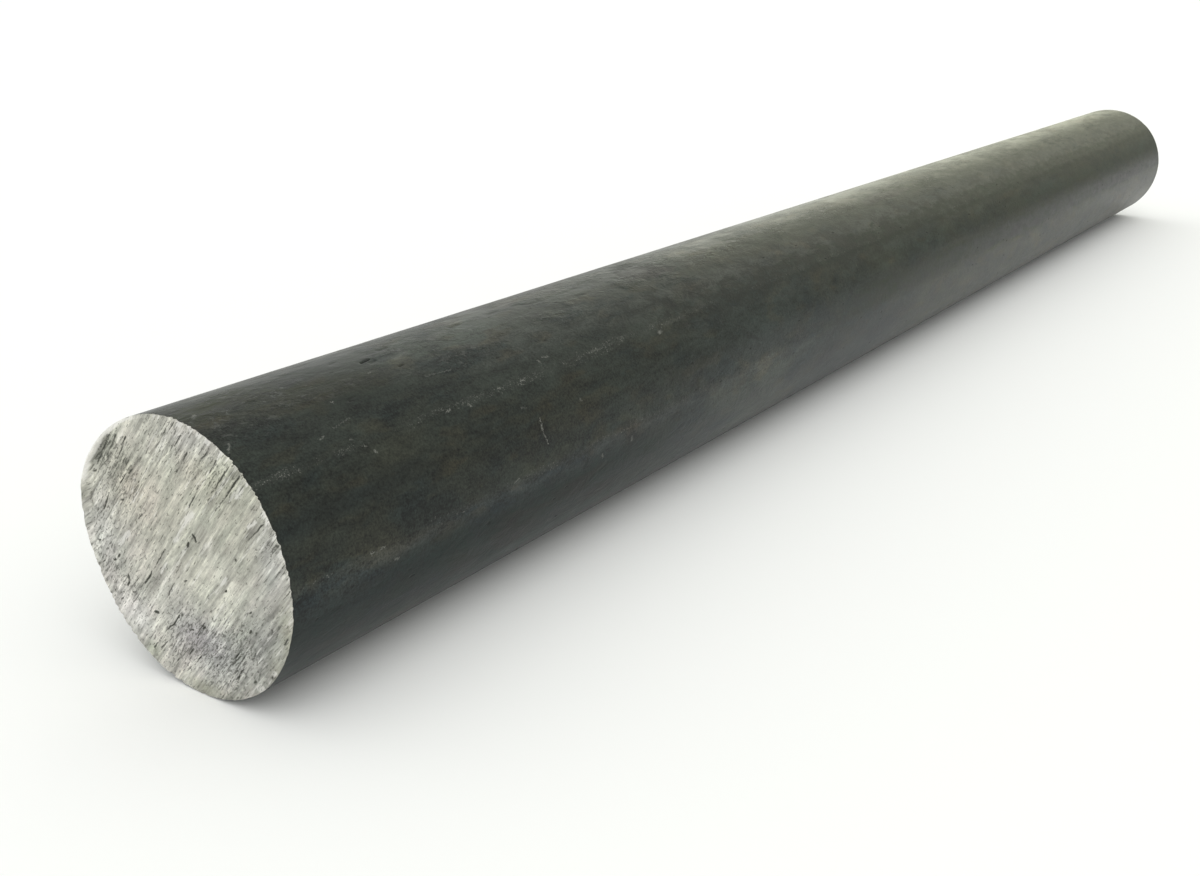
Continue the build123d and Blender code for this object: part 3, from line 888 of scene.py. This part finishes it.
    # Fine cracks and flakes run along the rougher top of the bar.
    rough_zone = t.mul(t.span(t.add(phi, t.centred(patches, 50.0)), 34.0, 6.0), t.span(t.noise(long_, 0.11, 3.0, 0.6), 0.42, 0.58))
    ridge = t.math("ABSOLUTE", t.math("SUBTRACT", t.noise(t.vmath("MULTIPLY", at, (0.30, 1.0, 1.0)), 0.75, 3.0, 0.60, 0.5), 0.5))
    crack = t.mul(t.span(ridge, 0.012, 0.002), rough_zone, t.span(mottle2, 0.48, 0.60))
    flake = t.mul(t.span(t.noise(t.vmath("MULTIPLY", at, (0.7, 1.0, 1.0)), 0.85, 4.0, 0.68, 0.5), 0.54, 0.69), rough_zone)
    blot = t.noise(t.vmath("MULTIPLY", at, (0.5, 1.0, 1.0)), 0.30, 5.0, 0.70, 0.4)
    beyond = t.span(s, 80.0, 112.0)
    clump = t.mul(t.span(blot, 0.48, 0.56), t.span(t.add(phi, t.centred(mottle, 14.0)), 18.0, 36.0), t.span(phi, 60.0, 42.0), beyond)
    pale = t.mul(t.span(blot, 0.46, 0.36), t.span(phi, -12.0, 22.0), t.span(phi, 84.0, 34.0), beyond)
    bed = t.mul(t.attribute("dark"), t.span(fine2, 0.32, 0.58, 0.35, 1.15))
    hollow = t.math("MAXIMUM", bed, t.math("MAXIMUM", t.mul(pit, 0.7), t.mul(crack, 0.8)), clamp=True)
    col = t.mix(t.mul(flake, 0.72), col, (0.082, 0.086, 0.078))
    col = t.mix(t.mul(clump, 0.76), col, (0.0050, 0.0060, 0.0050))
    col = t.mix(t.mul(pale, 0.26), col, (0.056, 0.060, 0.055))
    col = t.mix(t.mul(hollow, 0.85), col, (0.0045, 0.0045, 0.0042))
    t.put(t.bsdf.inputs["Base Color"], col)
    t.bsdf.inputs["Metallic"].default_value = 0.0
    t.bsdf.inputs["IOR"].default_value = 1.29
    rough = t.add(0.345, t.centred(mottle, 0.22), t.centred(grain, 0.14), t.mul(hollow, 0.25), t.mul(rough_zone, 0.05))
    t.put(t.bsdf.inputs["Roughness"], rough)

    swell = t.noise(t.vmath("MULTIPLY", at, (0.55, 1.0, 1.0)), 0.34, 3.0, 0.60, 0.6)
    ripple = t.noise(t.vmath("MULTIPLY", at, (0.7, 1.0, 1.0)), 1.1, 3.0, 0.60, 0.5)
    calm = t.mul(t.span(s, 105.0, 205.0, 1.0, 0.36), t.span(s, 15.0, 50.0, 0.85, 1.15), t.span(s, 48.0, 80.0, 1.0, 1.22))
    height = t.add(
        t.mul(swell, calm, t.add(0.11, t.mul(rough_zone, 0.10))), t.mul(ripple, calm, t.add(0.012, t.mul(rough_zone, 0.085))),
        t.mul(mottle2, 0.014), t.mul(grain, 0.016),
        t.mul(pit, -0.030), t.mul(crack, -0.030), t.mul(flake, 0.012)
    )
    t.put(t.bsdf.inputs["Normal"], t.bump(height, 0.001))
    return t.mat


def sawn_steel():
    t = Tree("sawn_steel")
    at = t.place()
    x, y, z = t.parts(at)
    # Each end has its own marks' direction: coordinates along and across them.
    near = t.math("LESS_THAN", x, 0.0)
    a = t.mul(y, t.span(near, 0.0, 1.0, 1.0, -1.0, smooth=False))
    cs = t.span(near, 0.0, 1.0, math.cos(SAW_ANGLE[1]), math.cos(SAW_ANGLE[-1]), smooth=False)
    sn = t.span(near, 0.0, 1.0, math.sin(SAW_ANGLE[1]), math.sin(SAW_ANGLE[-1]), smooth=False)
    u = t.add(t.mul(a, cs), t.mul(z, sn))
    v = t.math("SUBTRACT", t.mul(z, cs), t.mul(a, sn))
    uv = t.join(u, v, t.mul(near, 40.0))
    streak = t.noise(t.vmath("MULTIPLY", uv, (0.12, 1.0, 1.0)), 2.6, 4.0, 0.70, 0.12)
    hair = t.noise(t.vmath("MULTIPLY", uv, (0.08, 1.0, 1.0)), 5.6, 2.0, 0.6)
    crumb = t.noise(t.vmath("MULTIPLY", uv, (0.50, 1.0, 1.0)), 4.2, 3.0, 0.65)
    # The 'tone' attribute includes painted light and shade on the groove walls.
    col = t.mix(1.0, (0.490, 0.482, 0.431), t.attribute("tone", "Vector"), "MULTIPLY")
    k = t.add(1.0, t.centred(streak, 1.20), t.centred(hair, 0.72), t.centred(crumb, 0.52))
    col = t.vmath("SCALE", col, scale=k)
    # The marks' edges are ragged at a finer scale than the relief carries.
    light = t.span(t.add(t.attribute("light"), t.centred(hair, 0.9), t.centred(streak, 0.6)), 0.30, 0.70)
    col = t.mix(t.mul(light, 0.55), col, (0.83, 0.815, 0.79))
    given = t.attribute("dark")
    dark = t.mul(t.span(t.add(given, t.centred(hair, 1.0), t.centred(crumb, 0.9)), 0.36, 0.62), t.span(given, 0.1, 0.9, 0.55, 1.0))
    # Fine cuts and pits, many in the torn parts and few elsewhere.
    coarse = t.attribute("coarse")
    cut = t.noise(t.vmath("MULTIPLY", uv, (0.22, 1.0, 1.0)), 3.4, 2.0, 0.55, 0.2)
    pock = t.noise(t.vmath("MULTIPLY", uv, (0.62, 1.0, 1.0)), 2.7, 3.0, 0.62)
    cuts = t.span(t.math("MULTIPLY_ADD", coarse, 0.085, cut), 0.655, 0.715)
    pocks = t.span(t.math("MULTIPLY_ADD", coarse, 0.085, pock), 0.690, 0.745)
    dark = t.math("MAXIMUM", dark, t.math("MAXIMUM", t.mul(cuts, 0.62), t.mul(pocks, 0.75)))
    col = t.mix(dark, col, (0.062, 0.064, 0.052))
    t.put(t.bsdf.inputs["Base Color"], col)
    t.bsdf.inputs["Metallic"].default_value = 0.70
    t.put(t.bsdf.inputs["Roughness"], t.span(streak, 0.3, 0.7, 0.46, 0.60))
    height = t.add(t.mul(streak, 0.050), t.mul(hair, 0.016), t.mul(crumb, 0.018), t.mul(dark, -0.026))
    t.put(t.bsdf.inputs["Normal"], t.bump(height, 0.001))
    return t.mat


mesh.materials.append(mill_scale())
mesh.materials.append(sawn_steel())
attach(bar, "root")
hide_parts("round_bar")


# ---- floor and light --------------------------------------------------------
floor_tree = Tree("pale_floor")
floor_tree.bsdf.inputs["Base Color"].default_value = (0.90, 0.90, 0.90, 1)
floor_tree.bsdf.inputs["Roughness"].default_value = 0.8
floor_tree.bsdf.inputs["Specular IOR Level"].default_value = 0.1
bm = bmesh.new()
bmesh.ops.create_grid(bm, x_segments=1, y_segments=1, size=60.0)
ground = bpy.data.meshes.new("floor")
bm.to_mesh(ground)
bm.free()
floor = bpy.data.objects.new("floor", ground)
ground.materials.append(floor_tree.mat)
scene.collection.objects.link(floor)

# A pale studio all round, a little brighter and warmer beyond the bar's far end.
world = bpy.data.worlds.new("studio")
scene.world = world
world.use_nodes = True
wt = world.node_tree
wt.nodes.clear()


def wnode(kind, **props):
    n = wt.nodes.new(kind)
    for key, value in props.items():
        setattr(n, key, value)
    return n


coord = wnode("ShaderNodeTexCoord")


def glow(axis, start, gain):
    """Light that grows by gain from start, a cosine, up to the axis."""
    dot = wnode("ShaderNodeVectorMath", operation="DOT_PRODUCT")
    dot.inputs[1].default_value = Vector(axis).normalized()
    wt.links.new(coord.outputs["Generated"], dot.inputs[0])
    grown = wnode("ShaderNodeMapRange", interpolation_type="SMOOTHSTEP")
    for key, value in (("From Min", start), ("From Max", 1.0), ("To Min", 0.0), ("To Max", gain)):
        grown.inputs[key].default_value = value
    wt.links.new(dot.outputs["Value"], grown.inputs["Value"])
    return grown.outputs["Result"]


level = None
for part in (glow((0.92, 0.38, 0.08), 0.84, 0.17), glow((0.92, 0.38, 0.08), 0.955, 1.40), glow((0.935, -0.33, 0.07), 0.945, -0.62)):
    total = wnode("ShaderNodeMath", operation="ADD")
    wt.links.new(part, total.inputs[0])
    if level is None:
        total.inputs[1].default_value = 0.95
    else:
        wt.links.new(level, total.inputs[1])
    level = total.outputs[0]
split = wnode("ShaderNodeSeparateXYZ")
wt.links.new(coord.outputs["Generated"], split.inputs[0])
warm = wnode("ShaderNodeMapRange", interpolation_type="SMOOTHSTEP")
for key, value in (("From Min", 0.72), ("From Max", 0.98), ("To Min", 0.0), ("To Max", 1.0)):
    warm.inputs[key].default_value = value
wt.links.new(split.outputs[0], warm.inputs["Value"])
hue = wnode("ShaderNodeMix", data_type="RGBA")
hue.inputs[6].default_value = (0.985, 1.0, 0.965, 1)
hue.inputs[7].default_value = (0.985, 1.0, 0.77, 1)
wt.links.new(warm.outputs["Result"], hue.inputs[0])
lit = wnode("ShaderNodeBackground")
wt.links.new(hue.outputs[2], lit.inputs["Color"])
wt.links.new(level, lit.inputs["Strength"])
seen = wnode("ShaderNodeBackground")
seen.inputs["Color"].default_value = (1.0, 1.0, 1.0, 1)
path = wnode("ShaderNodeLightPath")
either = wnode("ShaderNodeMixShader")
wt.links.new(path.outputs["Is Camera Ray"], either.inputs[0])
wt.links.new(lit.outputs[0], either.inputs[1])
wt.links.new(seen.outputs[0], either.inputs[2])
w_out = wnode("ShaderNodeOutputWorld")
wt.links.new(either.outputs[0], w_out.inputs["Surface"])

sun_data = bpy.data.lights.new("soft_key", "SUN")
sun_data.energy = 0.85
sun_data.angle = math.radians(55)
sun = bpy.data.objects.new("soft_key", sun_data)
scene.collection.objects.link(sun)
sun.rotation_euler = Vector((0.50, 0.50, -0.85)).to_track_quat("-Z", "Y").to_euler()

# ---- camera -----------------------------------------------------------------
r_m = R / 1000
near_end = Vector(((-HALF + PLANE[-1]) / 1000, 0, r_m))
cam_data = bpy.data.cameras.new("camera")
cam_data.sensor_width, cam_data.lens = 36.0, 38.907
cam_data.clip_start, cam_data.clip_end = 0.01, 100
cam = bpy.data.objects.new("camera", cam_data)
scene.collection.objects.link(cam)
forward = Vector((0.7707, 0.5368, -0.3433)).normalized()
right = Vector((forward.y, -forward.x, 0.0)).normalized()
up = right.cross(forward).normalized()
turn = Matrix((right, up, -forward)).transposed()
cam.matrix_world = Matrix.Translation(near_end + Vector((-4.7435, -6.6104, 3.6548)) * r_m) @ turn.to_4x4()
scene.camera = cam
scene.view_settings.view_transform = "Standard"
